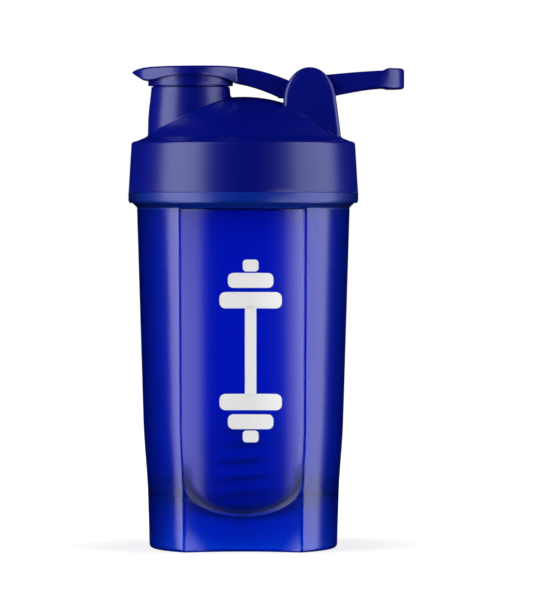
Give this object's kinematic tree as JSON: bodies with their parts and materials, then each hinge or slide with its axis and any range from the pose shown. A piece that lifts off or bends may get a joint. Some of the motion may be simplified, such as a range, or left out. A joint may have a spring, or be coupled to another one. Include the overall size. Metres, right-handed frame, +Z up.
{
  "type": "protein shaker bottle",
  "caption": "Protein shaker bottle: translucent bottle with concave grip panels, screw lid with off-centre spout, hinged flip cap and carry loop, and a wire mixing ball inside.",
  "frame": {"origin": "centre of the foot ring's lowest edge, on the bottle's and the screw thread's axis", "axes": "+Z up along the bottle's axis, spout towards -X, hinge and carry loop towards +X, grip panels towards -Y and +Y"},
  "size_m": [0.1131, 0.0942, 0.1973],
  "materials": {
    "bottle_plastic": "translucent blue, glossy",
    "lid_plastic": "opaque dark blue, satin gloss",
    "silicone": "matt, pale grey",
    "pin_steel": "drawn steel",
    "wire_steel": "polished stainless wire"
  },
  "bodies": {
    "bottle": {"bottle_body": "bottle_plastic"},
    "seal": {"lid_seal": "silicone"},
    "lid": {"lid_shell": "lid_plastic", "hinge_pin": "pin_steel"},
    "cap": {"flip_cap": "lid_plastic", "spout_plug": "silicone"},
    "loop": {"carry_loop": "lid_plastic"},
    "ball": {"whisk_ball": "wire_steel"}
  },
  "joints": [
    {"name": "lid_lift", "type": "slide", "parent": "bottle", "child": "seal", "axis": [0, 0, 1], "range_m": [0, 0.02401]},
    {"name": "lid_turn", "type": "hinge", "parent": "seal", "child": "lid", "pos_m": [0, 0, 0.154], "axis": [0, 0, 1], "range_deg": [0, 1080]},
    {"name": "cap_flip", "type": "hinge", "parent": "lid", "child": "cap", "pos_m": [0.0271, 0, 0.1876], "axis": [0, 1, 0], "range_deg": [0, 100]},
    {"name": "loop_swing", "type": "hinge", "parent": "lid", "child": "loop", "pos_m": [0.0271, 0, 0.1876], "axis": [0, -1, 0], "range_deg": [-36, 42]},
    {"name": "ball_bounce", "type": "slide", "parent": "bottle", "child": "ball", "axis": [0, 0, 1], "range_m": [0, 0.09]}
  ],
  "couplings": [
    {"joint": "lid_lift", "follows": "lid_turn", "m_per_rad": 0.0012732}
  ]
}
